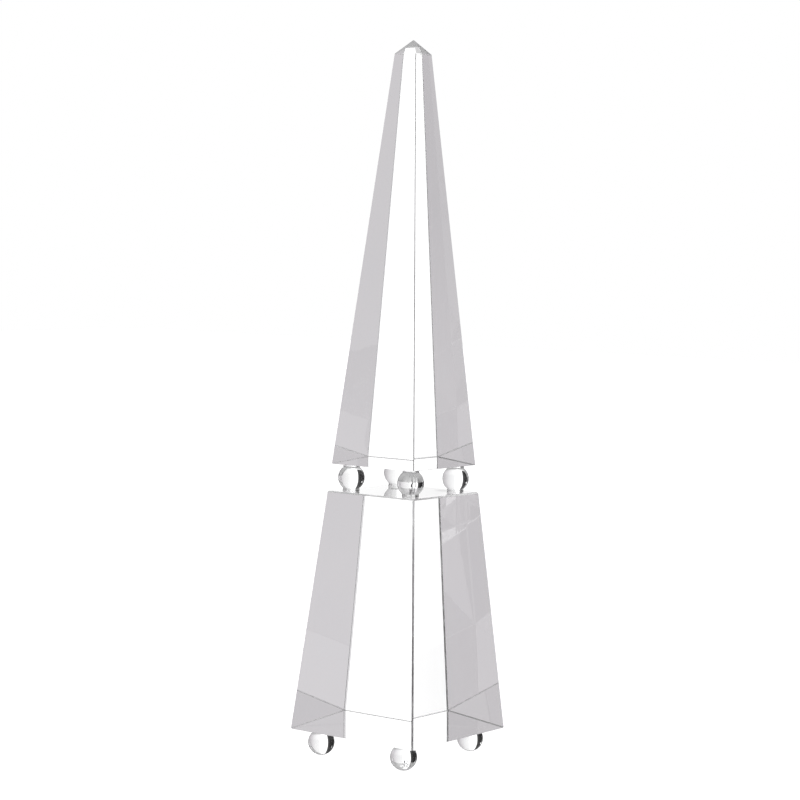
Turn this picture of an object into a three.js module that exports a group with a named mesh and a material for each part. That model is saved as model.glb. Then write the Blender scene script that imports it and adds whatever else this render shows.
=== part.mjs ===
// Crystal obelisk in two blocks, standing on balls. Millimetres, +Z up.
// The origin is on the standing surface, under the obelisk's axis, and the
// blocks' sides face along X and Y.
import * as THREE from 'three';

// Balls: one stock size, used between the blocks and as feet.
const BALL_RADIUS = 10;
const BALL_SEGMENTS = 24;
const BALL_RINGS = 12;
const FOOT_FLAT_RADIUS = 2; // small spot ground on the underside of each foot

// Blocks: square tapered pieces, given by their side at each level.
const LOWER_BASE_SIDE = 115;
const LOWER_TOP_SIDE = 81.1;
const LOWER_HEIGHT = 178.9;
const SHAFT_BASE_SIDE = 76.8;
const SHOULDER_SIDE = 19.9;
const SHAFT_HEIGHT = 303.6; // from the shaft's underside to its shoulder
const TIP_HEIGHT = 10.5;
const TIP_FLAT_SIDE = 0.8; // the tip is just blunted, so that it cannot cut

// Ball centres, measured from the axis along X and along Y.
const MIDDLE_BALL_INSET = 27.7;
const FOOT_BALL_INSET = 40.7;
// The feet are set by eye: two of them stand off the square pattern.
const FOOT_SLIP = { front_right: [-3.9, 0.1], rear_right: [-7.9, 6.7] };

// Bonds: a collar of clear adhesive fills the wedge between ball and block.
const BOND_OUTER_RADIUS = 6.2;
const BOND_EDGE_HEIGHT = 0.3; // the collar's height at its inner rim
const BOND_CLEARANCE = 0.3; // kept between the collar and the ball
const BOND_ARC_STEPS = 3;

const CORNERS = {
  front_left: [-1, -1],
  front_right: [1, -1],
  rear_right: [1, 1],
  rear_left: [-1, 1],
};

// Levels, worked out from the standing surface upwards.
const FOOT_CENTRE_Z = Math.sqrt(BALL_RADIUS ** 2 - FOOT_FLAT_RADIUS ** 2);
const LOWER_BASE_Z = FOOT_CENTRE_Z + BALL_RADIUS;
const LOWER_TOP_Z = LOWER_BASE_Z + LOWER_HEIGHT;
const MIDDLE_CENTRE_Z = LOWER_TOP_Z + BALL_RADIUS;
const SHAFT_BASE_Z = MIDDLE_CENTRE_Z + BALL_RADIUS;

const crystal = { color: 0xf1f3f6, roughness: 0.02, metalness: 0 };
const ballCrystal = { color: 0xf4f5f7, roughness: 0.02, metalness: 0 };
const adhesive = { color: 0xe6e8ea, roughness: 0.12, metalness: 0 };

const obelisk = new THREE.Group();

function addPiece(name, geometry, finish, [x, y, z]) {
  const piece = new THREE.Mesh(geometry, new THREE.MeshStandardMaterial(finish));
  piece.name = name;
  piece.position.set(x, y, z);
  obelisk.add(piece);
}

// A body of revolution about +Z from [radius, height] pairs, bottom first.
function turned(profile, segments, startAngle = 0) {
  const points = profile.map(([radius, height]) => new THREE.Vector2(radius, height));
  return new THREE.LatheGeometry(points, segments, startAngle).rotateX(Math.PI / 2);
}

// A square block about +Z from [side, height] pairs, bottom first.
function squareBlock(levels) {
  const outline = levels.map(([side, height]) => [side * Math.SQRT1_2, height]);
  const bottom = [0, levels[0][1]];
  const top = [0, levels[levels.length - 1][1]];
  return turned([bottom, ...outline, top], 4, Math.PI / 4);
}

// A ball about its own centre. The flat, if any, is cut square across its underside.
function ball(flatRadius) {
  const flatAngle = Math.asin(flatRadius / BALL_RADIUS);
  const profile = flatRadius > 0 ? [[0, -BALL_RADIUS * Math.cos(flatAngle)]] : [];
  for (let ring = 0; ring <= BALL_RINGS; ring += 1) {
    const angle = flatAngle + ((Math.PI - flatAngle) * ring) / BALL_RINGS;
    const onAxis = ring === BALL_RINGS || angle === 0;
    profile.push([onAxis ? 0 : BALL_RADIUS * Math.sin(angle), -BALL_RADIUS * Math.cos(angle)]);
  }
  return turned(profile, BALL_SEGMENTS);
}

// A bond collar, lying on a block's face at height 0, hollowed by the ball above it.
function bondCollar() {
  const hollowRadius = BALL_RADIUS + BOND_CLEARANCE;
  const angleAt = (radius) => Math.asin(radius / hollowRadius);
  const innerRadius = Math.sqrt(hollowRadius ** 2 - (BALL_RADIUS - BOND_EDGE_HEIGHT) ** 2);
  const innerAngle = angleAt(innerRadius);
  const outerAngle = angleAt(BOND_OUTER_RADIUS);
  const profile = [[innerRadius, 0], [BOND_OUTER_RADIUS, 0]];
  for (let step = 0; step <= BOND_ARC_STEPS; step += 1) {
    const angle = outerAngle + ((innerAngle - outerAngle) * step) / BOND_ARC_STEPS;
    profile.push([hollowRadius * Math.sin(angle), BALL_RADIUS - hollowRadius * Math.cos(angle)]);
  }
  profile.push(profile[0]);
  return turned(profile, BALL_SEGMENTS);
}

// The lower block, standing on the feet.
addPiece(
  'lower_block',
  squareBlock([[LOWER_BASE_SIDE, 0], [LOWER_TOP_SIDE, LOWER_HEIGHT]]),
  crystal,
  [0, 0, LOWER_BASE_Z],
);

// The shaft, carrying on the same taper to a low pyramid.
addPiece(
  'upper_shaft',
  squareBlock([
    [SHAFT_BASE_SIDE, 0],
    [SHOULDER_SIDE, SHAFT_HEIGHT],
    [TIP_FLAT_SIDE, SHAFT_HEIGHT + TIP_HEIGHT],
  ]),
  crystal,
  [0, 0, SHAFT_BASE_Z],
);

// Balls and their bonds, one set at each corner.
for (const [corner, [sideX, sideY]] of Object.entries(CORNERS)) {
  const [slipX, slipY] = FOOT_SLIP[corner] ?? [0, 0];
  const footX = sideX * FOOT_BALL_INSET + slipX;
  const footY = sideY * FOOT_BALL_INSET + slipY;
  const middleX = sideX * MIDDLE_BALL_INSET;
  const middleY = sideY * MIDDLE_BALL_INSET;

  addPiece(`foot_ball_${corner}`, ball(FOOT_FLAT_RADIUS), ballCrystal, [footX, footY, FOOT_CENTRE_Z]);
  addPiece(`middle_ball_${corner}`, ball(0), ballCrystal, [middleX, middleY, MIDDLE_CENTRE_Z]);

  // Turned over about X, a collar hangs from the face above its ball.
  const hanging = () => bondCollar().rotateX(Math.PI);
  addPiece(`foot_bond_${corner}`, hanging(), adhesive, [footX, footY, LOWER_BASE_Z]);
  addPiece(`lower_bond_${corner}`, bondCollar(), adhesive, [middleX, middleY, LOWER_TOP_Z]);
  addPiece(`upper_bond_${corner}`, hanging(), adhesive, [middleX, middleY, SHAFT_BASE_Z]);
}

export default obelisk;
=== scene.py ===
import math
import bmesh
import bpy
from mathutils import Euler, Matrix, Vector


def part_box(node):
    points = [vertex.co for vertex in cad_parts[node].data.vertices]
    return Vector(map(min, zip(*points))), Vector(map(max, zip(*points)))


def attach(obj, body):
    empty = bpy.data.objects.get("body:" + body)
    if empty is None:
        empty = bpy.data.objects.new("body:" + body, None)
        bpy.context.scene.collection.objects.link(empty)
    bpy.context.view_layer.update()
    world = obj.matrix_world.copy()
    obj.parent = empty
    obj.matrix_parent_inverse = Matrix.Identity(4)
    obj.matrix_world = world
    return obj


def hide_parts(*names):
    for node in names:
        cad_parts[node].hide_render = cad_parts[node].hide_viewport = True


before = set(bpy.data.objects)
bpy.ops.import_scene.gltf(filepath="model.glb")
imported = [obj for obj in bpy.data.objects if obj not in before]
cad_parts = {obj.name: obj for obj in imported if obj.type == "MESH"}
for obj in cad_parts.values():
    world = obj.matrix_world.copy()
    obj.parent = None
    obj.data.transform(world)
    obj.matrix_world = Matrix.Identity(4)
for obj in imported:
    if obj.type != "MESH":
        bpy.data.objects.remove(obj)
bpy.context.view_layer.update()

scene = bpy.context.scene
CORNERS = ("front_left", "front_right", "rear_right", "rear_left")


# Foot balls. Four stock 20 mm balls of clear optical crystal, polished all over,
# with a small spot ground flat underneath so that the obelisk stands steadily.
# Each is bonded by its crown to the lower block's underside.
BALL_RADIUS = 0.010
BALL_MERIDIANS = 112
BALL_PARALLELS = 56
BOND_RADIUS = 0.0062
COLLAR_RIM = 0.00008
CROWN_HEIGHT = math.sqrt(BALL_RADIUS ** 2 - BOND_RADIUS ** 2)
CRYSTAL_IOR = 1.518
WHITE = (1.0, 1.0, 1.0, 1.0)
FAINT_TINT = (0.992, 0.995, 1.0, 1.0)
POLISHED = (0.0, 0.012)
BALL_MARKS = 90
NOISE_RANGE = (0.35, 0.7)
WAVE_DETAIL = 1.0
WAVE_HEIGHT = 0.000012
MARK_DETAIL = 4.0
TINT_DETAIL = 2.0
# A mix node's colour sockets share their names with its others, so they go by number.
MIX_FIRST = 6
MIX_SECOND = 7
MIX_RESULT = 2


def noise_group(name, output, kind, detail):
    """A node group that gives a noise, spread between a least and a most value."""
    group = bpy.data.node_groups.new(name, "ShaderNodeTree")
    for socket in ("Scale", "Least", "Most"):
        group.interface.new_socket(socket, in_out="INPUT", socket_type="NodeSocketFloat")
    group.interface.new_socket(output, in_out="OUTPUT", socket_type=kind)
    given = group.nodes.new("NodeGroupInput")
    result = group.nodes.new("NodeGroupOutput")
    place = group.nodes.new("ShaderNodeTexCoord")
    noise = group.nodes.new("ShaderNodeTexNoise")
    noise.inputs["Detail"].default_value = detail
    group.links.new(place.outputs["Object"], noise.inputs["Vector"])
    group.links.new(given.outputs["Scale"], noise.inputs["Scale"])
    spread = group.nodes.new("ShaderNodeMapRange")
    spread.interpolation_type = "SMOOTHSTEP"
    spread.inputs["From Min"].default_value = NOISE_RANGE[0]
    spread.inputs["From Max"].default_value = NOISE_RANGE[1]
    group.links.new(noise.outputs["Fac"], spread.inputs["Value"])
    group.links.new(given.outputs["Least"], spread.inputs["To Min"])
    group.links.new(given.outputs["Most"], spread.inputs["To Max"])
    return group, spread.outputs["Result"], result


polish_waves, wave_height, wave_result = noise_group(
    "polish_waves", "Height", "NodeSocketFloat", WAVE_DETAIL)
polish_waves.links.new(wave_height, wave_result.inputs["Height"])
handling_marks, mark_roughness, mark_result = noise_group(
    "handling_marks", "Roughness", "NodeSocketFloat", MARK_DETAIL)
handling_marks.links.new(mark_roughness, mark_result.inputs["Roughness"])
melt_tint, tint_share, tint_result = noise_group(
    "melt_tint", "Color", "NodeSocketColor", TINT_DETAIL)
tint_mix = melt_tint.nodes.new("ShaderNodeMix")
tint_mix.data_type = "RGBA"
melt_tint.links.new(tint_share, tint_mix.inputs["Factor"])
tint_mix.inputs[MIX_FIRST].default_value = WHITE
tint_mix.inputs[MIX_SECOND].default_value = FAINT_TINT
melt_tint.links.new(tint_mix.outputs[MIX_RESULT], tint_result.inputs["Color"])


def clear_material(name, ior, marks, roughness):
    """Clear stuff that light passes through. Its waves and marks are so many to the
    metre, and its face's roughness runs from a least to a most."""
    material = bpy.data.materials.new(name)
    material.use_nodes = True
    tree = material.node_tree
    shader = tree.nodes["Principled BSDF"]
    shader.inputs["Metallic"].default_value = 0.0
    shader.inputs["IOR"].default_value = ior
    shader.inputs["Transmission Weight"].default_value = 1.0

    def laid(group, least, most):
        node = tree.nodes.new("ShaderNodeGroup")
        node.node_tree = group
        node.inputs["Scale"].default_value = marks
        node.inputs["Least"].default_value = least
        node.inputs["Most"].default_value = most
        return node.outputs[0]

    bump = tree.nodes.new("ShaderNodeBump")
    bump.inputs["Distance"].default_value = WAVE_HEIGHT
    tree.links.new(laid(polish_waves, 0.0, 1.0), bump.inputs["Height"])
    tree.links.new(bump.outputs["Normal"], shader.inputs["Normal"])
    tree.links.new(laid(handling_marks, *roughness), shader.inputs["Roughness"])
    tree.links.new(laid(melt_tint, 0.0, 1.0), shader.inputs["Base Color"])
    return material, shader


def finish_piece(name, shape, materials, nodes):
    """Makes a mesh of the shape, and puts it in place of the CAD nodes it stands for."""
    mesh = bpy.data.meshes.new(name)
    shape.to_mesh(mesh)
    shape.free()
    for material in materials:
        mesh.materials.append(material)
    piece = bpy.data.objects.new(name, mesh)
    scene.collection.objects.link(piece)
    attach(piece, "root")
    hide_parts(*nodes)
    return piece


ball_crystal, _ = clear_material("ball_crystal", CRYSTAL_IOR, BALL_MARKS, POLISHED)
bonded_face, bonded_shader = clear_material("bonded_face", CRYSTAL_IOR, BALL_MARKS, POLISHED)
bonded_shader.inputs["Alpha"].default_value = 0.0
BONDED = 1


def cut_level(shape, height, side, clear=False):
    """Cuts the shape along a level plane. Clearing drops what is past it, on that side."""
    cut = bmesh.ops.bisect_plane(
        shape, geom=shape.verts[:] + shape.edges[:] + shape.faces[:],
        plane_co=(0, 0, height), plane_no=(0, 0, side), clear_outer=clear)
    return [part for part in cut["geom_cut"] if isinstance(part, bmesh.types.BMEdge)]


def ball_shape(centre, crowns, flat_z=None):
    """A ball whose bonded crowns, 1 above or -1 below, are marked as bonded faces."""
    shape = bmesh.new()
    bmesh.ops.create_uvsphere(
        shape, u_segments=BALL_MERIDIANS, v_segments=BALL_PARALLELS, radius=BALL_RADIUS)
    bmesh.ops.translate(shape, verts=shape.verts, vec=centre)
    for face in shape.faces:
        face.smooth = True
    for side in crowns:
        level = centre.z + side * CROWN_HEIGHT
        pole = centre.z + side * (BALL_RADIUS - COLLAR_RIM)
        cut_level(shape, level, side)
        cut_level(shape, pole, side)
        for face in shape.faces:
            height = face.calc_center_median().z
            if side * (height - level) > 0 > side * (height - pole):
                face.material_index = BONDED
    if flat_z is not None:
        rim = cut_level(shape, flat_z, -1, clear=True)
        bmesh.ops.contextual_create(shape, geom=rim)
        for edge in rim:
            edge.smooth = False
    return shape


for corner in CORNERS:
    node = f"foot_ball_{corner}"
    low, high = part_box(node)
    centre = Vector(((low.x + high.x) / 2, (low.y + high.y) / 2, high.z - BALL_RADIUS))
    finish_piece(node + "_crystal", ball_shape(centre, (1,), low.z),
                 (ball_crystal, bonded_face), [node])


# Bonds. A collar of clear adhesive, cured under lamp, fills the wedge between each
# ball and the face that it touches. Where it is bonded it has no gloss of its own,
# so light goes straight on from ball to collar to block.
COLLAR_FIT = 0.00003
COLLAR_STEPS = 8
COLLAR_TURNS = 96
LEAN = 0.01
ADHESIVE_IOR = 1.50
ADHESIVE_MARKS = 400
ADHESIVE_ROUGHNESS = (0.2, 0.35)

cured_adhesive, _ = clear_material(
    "cured_adhesive", ADHESIVE_IOR, ADHESIVE_MARKS, ADHESIVE_ROUGHNESS)


def collar_shape(node, hangs):
    """A ring with a flat foot on the block and a hollow that follows the ball."""
    low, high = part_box(node)
    outer = (high.x - low.x) / 2
    hollow = BALL_RADIUS + COLLAR_FIT
    inner = math.sqrt(hollow ** 2 - (BALL_RADIUS - COLLAR_RIM) ** 2)
    start, stop = math.asin(outer / hollow), math.asin(inner / hollow)
    outline = [(inner, COLLAR_FIT), (outer, COLLAR_FIT)]
    for step in range(COLLAR_STEPS + 1):
        angle = start + (stop - start) * step / COLLAR_STEPS
        outline.append((hollow * math.sin(angle), BALL_RADIUS - hollow * math.cos(angle)))
    shape = bmesh.new()
    corners = [shape.verts.new((radius, 0, height)) for radius, height in outline]
    edges = [shape.edges.new(pair) for pair in zip(corners, corners[1:] + corners[:1])]
    bmesh.ops.spin(shape, geom=corners + edges, cent=(0, 0, 0), axis=(0, 0, 1),
                   angle=math.tau, steps=COLLAR_TURNS, use_merge=True)
    bmesh.ops.recalc_face_normals(shape, faces=shape.faces)
    for face in shape.faces:
        wall = abs(face.normal.z) < LEAN and face.normal.dot(face.calc_center_median()) > 0
        foot = face.normal.z < LEAN - 1
        face.smooth = not foot
        face.material_index = 0 if wall or foot else BONDED
    for edge in shape.edges:
        edge.smooth = len({face.material_index for face in edge.link_faces}) == 1
    if hangs:
        bmesh.ops.rotate(shape, verts=shape.verts, cent=(0, 0, 0),
                         matrix=Matrix.Rotation(math.pi, 3, "X"))
    foot = high.z if hangs else low.z
    middle = Vector(((low.x + high.x) / 2, (low.y + high.y) / 2, foot))
    bmesh.ops.translate(shape, verts=shape.verts, vec=middle)
    return shape


for corner in CORNERS:
    for place, hangs in (("foot", True), ("lower", False), ("upper", True)):
        node = f"{place}_bond_{corner}"
        finish_piece(node + "_collar", collar_shape(node, hangs),
                     (cured_adhesive, bonded_face), [node])


# Lower block. One solid piece of clear optical crystal, sawn to a square taper, its
# six faces ground and polished flat. Every edge has a narrow chamfer, left ground, and
# the one around the underside is narrower still.
LOWER_CHAMFER = 0.0011
LOWER_FOOT_CHAMFER = 0.00055
LOWER_TOP_SIDE = 0.0811
BLOCK_MARKS = 22
EDGE_MARKS = 160
EDGE_ROUGHNESS = (0.3, 0.45)

block_crystal, _ = clear_material("block_crystal", CRYSTAL_IOR, BLOCK_MARKS, POLISHED)
ground_edge, _ = clear_material("ground_edge", CRYSTAL_IOR, EDGE_MARKS, EDGE_ROUGHNESS)
GROUND = 1


def tapered_block(low, high, top_side):
    """A square block standing on the box's base, tapering to a smaller square top."""
    shape = bmesh.new()
    bmesh.ops.create_cone(
        shape, cap_ends=True, cap_tris=False, segments=4,
        radius1=(high.x - low.x) / math.sqrt(2), radius2=top_side / math.sqrt(2),
        depth=high.z - low.z)
    bmesh.ops.rotate(shape, verts=shape.verts, cent=(0, 0, 0),
                     matrix=Matrix.Rotation(math.pi / 4, 3, "Z"))
    bmesh.ops.translate(shape, verts=shape.verts, vec=(low + high) / 2)
    return shape


def chamfer_edges(shape, edges, width):
    cut = bmesh.ops.bevel(shape, geom=edges, offset=width, offset_type="OFFSET",
                          segments=1, profile=0.5, affect="EDGES", material=-1)
    for face in cut["faces"]:
        face.material_index = GROUND


def edges_under(shape, level):
    return [edge for edge in shape.edges
            if max(corner.co.z for corner in edge.verts) < level]


BLOCK_FINISHES = (block_crystal, ground_edge)
low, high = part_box("lower_block")
shape = tapered_block(low, high, LOWER_TOP_SIDE)
foot_level = low.z + LOWER_FOOT_CHAMFER
foot_edges = edges_under(shape, foot_level)
chamfer_edges(shape, [edge for edge in shape.edges if edge not in foot_edges], LOWER_CHAMFER)
chamfer_edges(shape, edges_under(shape, foot_level), LOWER_FOOT_CHAMFER)
finish_piece("lower_block_crystal", shape, BLOCK_FINISHES, ["lower_block"])


# Middle balls. Four more of the same balls, bonded between the two blocks, one near
# each corner, so that light shows through the gap.
for corner in CORNERS:
    node = f"middle_ball_{corner}"
    low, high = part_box(node)
    finish_piece(node + "_crystal", ball_shape((low + high) / 2, (1, -1)),
                 (ball_crystal, bonded_face), [node])


# Upper shaft. One solid piece of the same crystal, cut to the same taper, with a low
# four-sided pyramid ground on its top. Its long edges have the same narrow chamfer,
# and the pyramid's edges are only just broken.
SHOULDER_SIDE = 0.0199
TIP_HEIGHT = 0.0105
TIP_SIDE = 0.0008
SHAFT_CHAMFER = 0.0005
TIP_CHAMFER = 0.00025
TIP_EDGE_ANGLE = math.radians(20)
MERGE_DISTANCE = 0.000001

low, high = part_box("upper_shaft")
shoulder_z = high.z - TIP_HEIGHT
shape = tapered_block(low, Vector((high.x, high.y, shoulder_z)), SHOULDER_SIDE)
top_face = max(shape.faces, key=lambda face: face.calc_center_median().z)
bmesh.ops.inset_region(shape, faces=[top_face], use_even_offset=True,
                       thickness=(SHOULDER_SIDE - TIP_SIDE) / 2)
bmesh.ops.translate(shape, verts=top_face.verts, vec=(0, 0, TIP_HEIGHT))
body_edges = [edge for edge in shape.edges
              if min(corner.co.z for corner in edge.verts) < shoulder_z - TIP_HEIGHT]
chamfer_edges(shape, body_edges, SHAFT_CHAMFER)
shoulder_edges = [edge for edge in shape.edges
                  if all(abs(corner.co.z - shoulder_z) < SHAFT_CHAMFER for corner in edge.verts)
                  and edge.calc_length() > SHOULDER_SIDE / 2]
chamfer_edges(shape, shoulder_edges, SHAFT_CHAMFER)
tip_edges = [edge for edge in shape.edges
             if all(corner.co.z > shoulder_z - TIP_SIDE for corner in edge.verts)
             and max(corner.co.z for corner in edge.verts) > high.z - TIP_SIDE
             and edge.calc_face_angle(0.0) > TIP_EDGE_ANGLE]
chamfer_edges(shape, tip_edges, TIP_CHAMFER)
# These last chamfers run out to nothing at the shoulder, where their ends are merged.
bmesh.ops.remove_doubles(shape, verts=shape.verts, dist=MERGE_DISTANCE)
finish_piece("upper_shaft_crystal", shape, BLOCK_FINISHES, ["upper_shaft"])


# Floor: a wide plain white sweep, seen by the camera only.
FLOOR_SIZE = 12.0
FLOOR_COLOUR = (0.8, 0.8, 0.8, 1.0)
FLOOR_ROUGHNESS = 0.9
FLOOR_GLOW = 1.0


def flat_sheet(name, size, material):
    shape = bmesh.new()
    bmesh.ops.create_grid(shape, x_segments=1, y_segments=1, size=size / 2)
    mesh = bpy.data.meshes.new(name)
    shape.to_mesh(mesh)
    shape.free()
    mesh.materials.append(material)
    sheet = bpy.data.objects.new(name, mesh)
    scene.collection.objects.link(sheet)
    return sheet


floor_paper = bpy.data.materials.new("floor_paper")
floor_paper.use_nodes = True
paper = floor_paper.node_tree.nodes["Principled BSDF"]
paper.inputs["Base Color"].default_value = FLOOR_COLOUR
paper.inputs["Roughness"].default_value = FLOOR_ROUGHNESS
paper.inputs["Emission Color"].default_value = WHITE
paper.inputs["Emission Strength"].default_value = FLOOR_GLOW
floor = flat_sheet("floor", FLOOR_SIZE, floor_paper)
floor.visible_transmission = False
floor.visible_glossy = False


# Studio: a white backdrop ahead of the camera, soft grey at the sides and dark behind.
# A black flag on the left, with a bright spot in it, darkens one side of each ball.
# Reflections from the sides are turned down, as a polarising filter does.
CAMERA_AZIMUTH = 37.369
CAMERA_PAN = 0.129
# Bearings are degrees to the right of the way the camera faces, heights degrees above level.
AROUND = ((-180, 0.12), (-150, 0.12), (-122, 0.59), (-90, 0.585), (-24, 1.8), (-8, 1.8),
          (4, 1.05), (12, 0.98), (20, 0.9), (28, 0.8), (36, 0.7), (44, 0.64), (75, 0.613),
          (122, 0.6), (150, 0.12), (180, 0.12))
LAVENDER = 0.08
LOW_LIFT = 1.09
LOW_LIFT_HEIGHTS = (-22, -13)
FLAG_BEARINGS = (-90, -22.5)
FLAG_HEIGHTS = (-34, 47)
FLAG_BLUR = 3.0
FLAG_LEVEL = 0.008
FLAG_FRINGE = 0.05
FLAG_FRINGE_BEARINGS = (-40, -26)
SPOT_BEARING = -48.8
SPOT_HEIGHT = 12
SPOT_SIZE = 3
SPOT_BLUR = 1
SPOT_LEVEL = 3.5
OVERHEAD = 0.58
OVERHEAD_HEIGHTS = (38, 52)
UNDERFOOT = 0.5
UNDERFOOT_HEIGHTS = (-41, -31)
POLARISER = 0.25
POLARISED_BEARINGS = (15, 30)
FULL_TURN = 360
BOUNCES = 32

world = bpy.data.worlds.new("studio")
scene.world = world
world.use_nodes = True
tree = world.node_tree
background = tree.nodes["Background"]
coords = tree.nodes.new("ShaderNodeTexCoord")
turn = tree.nodes.new("ShaderNodeVectorRotate")
turn.rotation_type = "Z_AXIS"
turn.inputs["Angle"].default_value = -math.radians(CAMERA_AZIMUTH)
tree.links.new(coords.outputs["Generated"], turn.inputs["Vector"])
split = tree.nodes.new("ShaderNodeSeparateXYZ")
tree.links.new(turn.outputs["Vector"], split.inputs["Vector"])


def maths(operation, first, second=None):
    node = tree.nodes.new("ShaderNodeMath")
    node.operation = operation
    for socket, value in zip(node.inputs, (first, second)):
        if value is None:
            continue
        if isinstance(value, (int, float)):
            socket.default_value = value
        else:
            tree.links.new(value, socket)
    return node.outputs["Value"]


def rise(value, start, end):
    """0 before start, 1 after end, and a smooth step between them."""
    node = tree.nodes.new("ShaderNodeMapRange")
    node.interpolation_type = "SMOOTHSTEP"
    tree.links.new(value, node.inputs["Value"])
    node.inputs["From Min"].default_value = start
    node.inputs["From Max"].default_value = end
    return node.outputs["Result"]


def between(value, span, blur):
    """1 inside the span of angles and 0 outside it, with soft ends."""
    start = rise(value, span[0] - blur, span[0] + blur)
    end = rise(value, span[1] - blur, span[1] + blur)
    return maths("SUBTRACT", start, end)


def mixed(share, first, second):
    """The first colour, turning into the second as the share goes to 1."""
    node = tree.nodes.new("ShaderNodeMix")
    node.data_type = "RGBA"
    tree.links.new(share, node.inputs["Factor"])
    for socket, colour in ((node.inputs[MIX_FIRST], first), (node.inputs[MIX_SECOND], second)):
        if isinstance(colour, (int, float)):
            socket.default_value = (colour, colour, colour, 1.0)
        else:
            tree.links.new(colour, socket)
    return node.outputs[MIX_RESULT]


def soft_grey(level):
    """A studio grey, which leans to lavender the darker it is."""
    return (level, level * (1 - LAVENDER * max(0, 1 - level)), level, 1.0)


DEGREES = math.degrees(1)
bearing = maths("MULTIPLY", maths("ARCTAN2", split.outputs["X"], split.outputs["Y"]), DEGREES)
height = maths("MULTIPLY", maths("ARCSINE", split.outputs["Z"]), DEGREES)

around = tree.nodes.new("ShaderNodeValToRGB")
tree.links.new(maths("ADD", maths("DIVIDE", bearing, FULL_TURN), 0.5), around.inputs["Fac"])
elements = around.color_ramp.elements
elements[0].position = 0.0
elements[-1].position = 1.0
for angle, _ in AROUND[1:-1]:
    elements.new(angle / FULL_TURN + 0.5)
for element, (_, level) in zip(elements, AROUND):
    element.color = soft_grey(level)

lift = tree.nodes.new("ShaderNodeVectorMath")
lift.operation = "SCALE"
tree.links.new(around.outputs["Color"], lift.inputs[0])
tree.links.new(
    maths("SUBTRACT", LOW_LIFT, maths("MULTIPLY", rise(height, *LOW_LIFT_HEIGHTS), LOW_LIFT - 1)),
    lift.inputs["Scale"])
flag = maths("MULTIPLY", between(bearing, FLAG_BEARINGS, FLAG_BLUR),
             between(height, FLAG_HEIGHTS, FLAG_BLUR))
spot = maths("MULTIPLY",
             between(bearing, (SPOT_BEARING - SPOT_SIZE, SPOT_BEARING + SPOT_SIZE), SPOT_BLUR),
             between(height, (SPOT_HEIGHT - SPOT_SIZE, SPOT_HEIGHT + SPOT_SIZE), SPOT_BLUR))
sky = mixed(rise(height, *OVERHEAD_HEIGHTS), lift.outputs["Vector"], OVERHEAD)
sky = mixed(rise(height, *UNDERFOOT_HEIGHTS), UNDERFOOT, sky)
sky = mixed(flag, sky, mixed(rise(bearing, *FLAG_FRINGE_BEARINGS), FLAG_LEVEL, FLAG_FRINGE))
sky = mixed(spot, sky, SPOT_LEVEL)
tree.links.new(sky, background.inputs["Color"])

outside = tree.nodes.new("ShaderNodeBackground")
path = tree.nodes.new("ShaderNodeLightPath")
sideways = rise(maths("ABSOLUTE", bearing), *POLARISED_BEARINGS)
dimmed = maths("MULTIPLY", path.outputs["Is Reflection Ray"], sideways)
tree.links.new(maths("SUBTRACT", 1, maths("MULTIPLY", dimmed, 1 - POLARISER)),
               background.inputs["Strength"])
choose = tree.nodes.new("ShaderNodeMixShader")
tree.links.new(path.outputs["Is Camera Ray"], choose.inputs["Fac"])
tree.links.new(background.outputs["Background"], choose.inputs[1])
tree.links.new(outside.outputs["Background"], choose.inputs[2])
outside.inputs["Color"].default_value = WHITE
tree.links.new(choose.outputs["Shader"], tree.nodes["World Output"].inputs["Surface"])

scene.view_settings.view_transform = "Standard"
scene.cycles.max_bounces = BOUNCES
scene.cycles.transmission_bounces = BOUNCES
scene.cycles.glossy_bounces = BOUNCES
scene.cycles.transparent_max_bounces = BOUNCES


# Cards: two lights that only the blocks see. Each stands straight behind them for one
# of the other ways to look at the obelisk. CARDS gives their bearings, heights above
# level and lengths.
CARD_DISTANCE = 4.0
CARD_CENTRE_Z = 0.27
CARD_WIDTH = 0.7
CARD_LEVEL = 0.9
CARDS = ((-52.631, -4, 2.4), (172.369, 0, 5.0))

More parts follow.
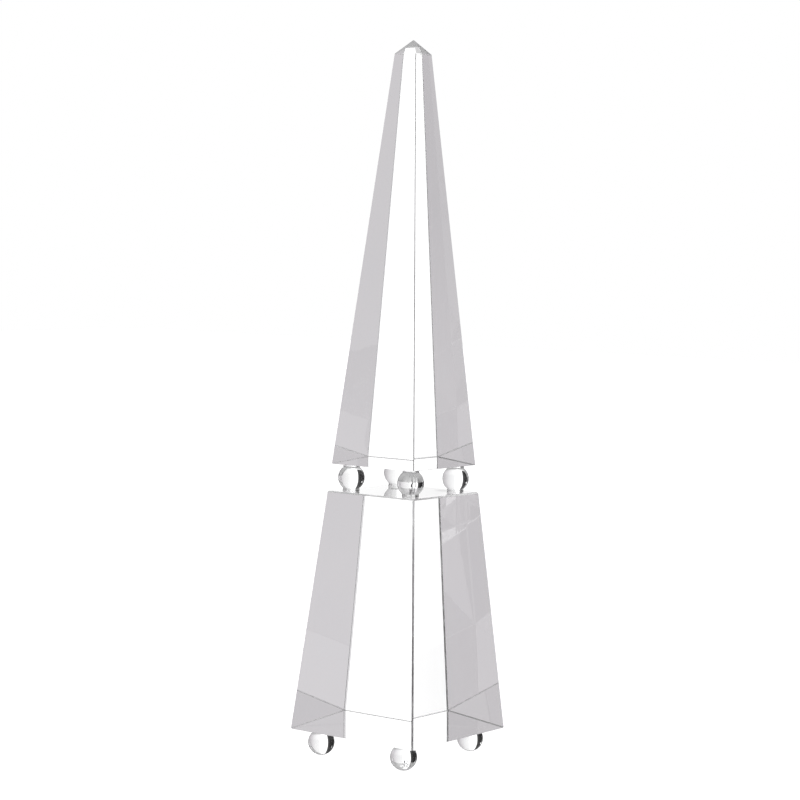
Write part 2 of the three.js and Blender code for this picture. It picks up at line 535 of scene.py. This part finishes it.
lit_blocks = bpy.data.collections.new("lit_blocks")
for name in ("lower_block_crystal", "upper_shaft_crystal"):
    lit_blocks.objects.link(bpy.data.objects[name])
card_light = bpy.data.materials.new("card_light")
card_light.use_nodes = True
glow = card_light.node_tree.nodes.new("ShaderNodeEmission")
glow.inputs["Strength"].default_value = CARD_LEVEL
card_light.node_tree.links.new(
    glow.outputs["Emission"], card_light.node_tree.nodes["Material Output"].inputs["Surface"])
for number, (card_bearing, card_height, card_tall) in enumerate(CARDS):
    card = flat_sheet(f"card_{number}", 1, card_light)
    turned_to = math.radians(CAMERA_AZIMUTH - card_bearing)
    lifted = math.radians(card_height)
    outward = Vector((-math.sin(turned_to) * math.cos(lifted),
                      math.cos(turned_to) * math.cos(lifted), math.sin(lifted)))
    card.location = Vector((0, 0, CARD_CENTRE_Z)) + CARD_DISTANCE * outward
    card.rotation_euler = outward.to_track_quat("Z", "Y").to_euler()
    card.scale = (CARD_WIDTH, card_tall, 1)
    card.visible_camera = False
    card.visible_diffuse = False
    card.visible_shadow = False
    card.light_linking.receiver_collection = lit_blocks


# Camera: a long lens, a little above the gap between the blocks, facing a corner.
CAMERA_DISTANCE = 1.7688
CAMERA_HEIGHT = 0.3817
CAMERA_TILT = 3.716
CAMERA_ROLL = 1.295
LENS = 107.12
SENSOR_WIDTH = 36.0

camera_data = bpy.data.cameras.new("camera")
camera_data.lens = LENS
camera_data.sensor_width = SENSOR_WIDTH
camera = bpy.data.objects.new("camera", camera_data)
around_angle = math.radians(CAMERA_AZIMUTH)
heading = math.radians(CAMERA_AZIMUTH + CAMERA_PAN)
facing = Euler((math.radians(90 - CAMERA_TILT), 0, heading)).to_matrix()
facing = facing @ Matrix.Rotation(math.radians(CAMERA_ROLL), 3, "Z")
camera.matrix_world = Matrix.Translation((
    CAMERA_DISTANCE * math.sin(around_angle),
    -CAMERA_DISTANCE * math.cos(around_angle),
    CAMERA_HEIGHT)) @ facing.to_4x4()
scene.collection.objects.link(camera)
scene.camera = camera
